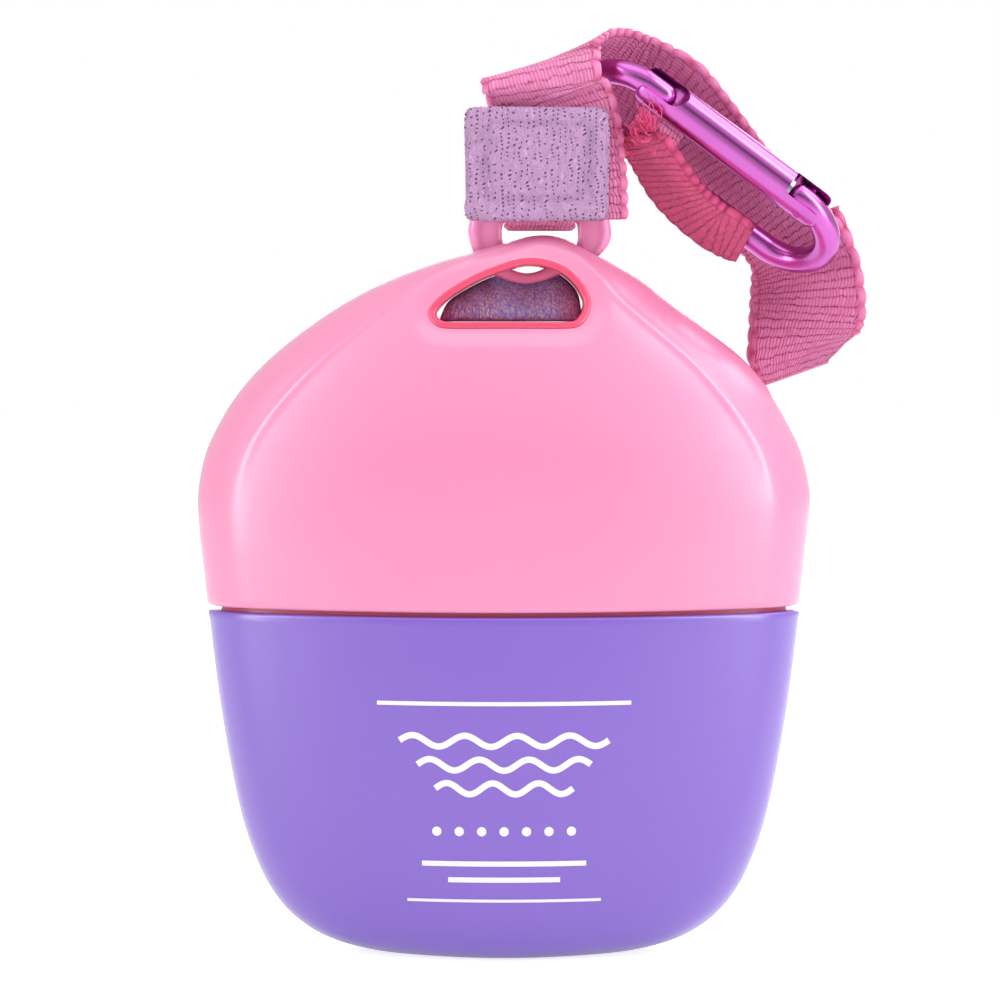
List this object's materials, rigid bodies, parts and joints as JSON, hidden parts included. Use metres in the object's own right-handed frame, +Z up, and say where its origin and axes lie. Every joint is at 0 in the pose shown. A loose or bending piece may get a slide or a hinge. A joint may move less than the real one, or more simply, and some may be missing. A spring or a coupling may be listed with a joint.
{
  "type": "sunscreen bottle with strap",
  "caption": "Flat travel bottle with a two-colour shell, pull-off cap, windowed apex holding a hang ring, and a webbing strap threaded on a sprung-gate carabiner.",
  "frame": {"origin": "centre of the flat base", "axes": "+Z up through the cap, the front face with the window looks along -Y, +X towards the carabiner"},
  "size_m": [0.0927, 0.0369, 0.1266],
  "materials": {
    "body_violet": "satin",
    "coral": "satin",
    "plug_white": "matte",
    "cap_pink": "satin",
    "seal_white": "matte",
    "pile_purple": "pile",
    "ring_pink": "satin",
    "webbing": "woven",
    "pile_lilac": "looped pile",
    "anodised": "satin anodised",
    "steel": "satin"
  },
  "bodies": {
    "bottle": {"bottle_body": "body_violet", "shoulder_collar": "coral", "dispensing_plug": "plug_white"},
    "cap": {"cap_shell": "cap_pink", "inner_cap": "coral", "seal_ring": "seal_white", "window_liner": "coral", "window_pad": "pile_purple"},
    "strap": {"hang_ring": "ring_pink", "ring_webbing": "webbing", "pile_tab": "pile_lilac", "strap_webbing": "webbing", "keeper_webbing": "webbing", "sewn_tack": "webbing"},
    "carabiner": {"carabiner_frame": "anodised"},
    "gate": {"gate_sleeve": "anodised", "gate_rivet": "anodised", "latch_pin": "anodised", "gate_plunger": "steel", "gate_spring": "steel"}
  },
  "joints": [
    {"name": "cap_lift", "type": "slide", "parent": "bottle", "child": "cap", "axis": [0, 0, 1], "range_m": [0, 0.036]},
    {"name": "ring_tilt", "type": "hinge", "parent": "cap", "child": "strap", "pos_m": [0.0049, 0, 0.0962], "axis": [1, 0, 0], "range_deg": [-10, 10]},
    {"name": "carabiner_roll", "type": "hinge", "parent": "strap", "child": "carabiner", "pos_m": [0.01657, 0.00127, 0.11599], "axis": [0.8018, 0, -0.5976], "range_deg": [-2, 2]},
    {"name": "gate_open", "type": "hinge", "parent": "carabiner", "child": "gate", "pos_m": [0.04083, -0.0046, 0.10267], "axis": [-0.5012, -0.5446, -0.6724], "range_deg": [0, 18], "stiffness_Nm_per_rad": 0.02, "springref_deg": -11.46}
  ]
}
